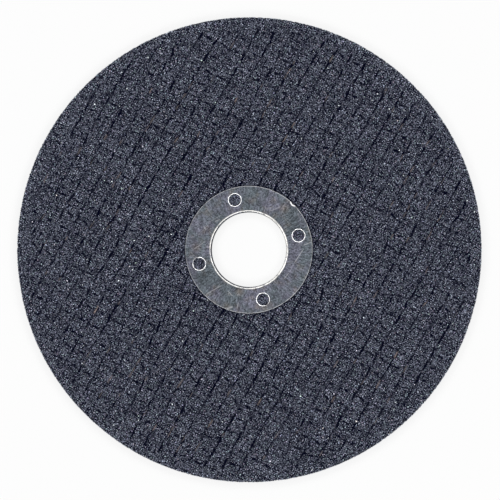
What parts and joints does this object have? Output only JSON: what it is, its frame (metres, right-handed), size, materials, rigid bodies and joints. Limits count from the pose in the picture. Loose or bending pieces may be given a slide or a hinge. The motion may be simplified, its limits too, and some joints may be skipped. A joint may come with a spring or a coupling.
{
  "type": "cut-off wheel",
  "caption": "Thin flat resin-bonded cut-off wheel with a woven glass-cloth imprint and a pressed steel ring lining its bore.",
  "frame": {"origin": "on the bore's axis, in the plane of the back face, which the wheel lies on", "axes": "+Z along the bore's axis, out of the front face that carries the ring's flange; +X to the right of the picture and +Y to its top"},
  "size_m": [0.1, 0.1, 0.0016],
  "materials": {
    "bonded_abrasive": "rough matte grain with the imprint of a woven cloth",
    "tinned_steel": "dull tin-plated sheet, lightly scratched"
  },
  "bodies": {
    "root": {"abrasive_disc": "bonded_abrasive", "bore_ring": "tinned_steel"}
  },
  "joints": []
}
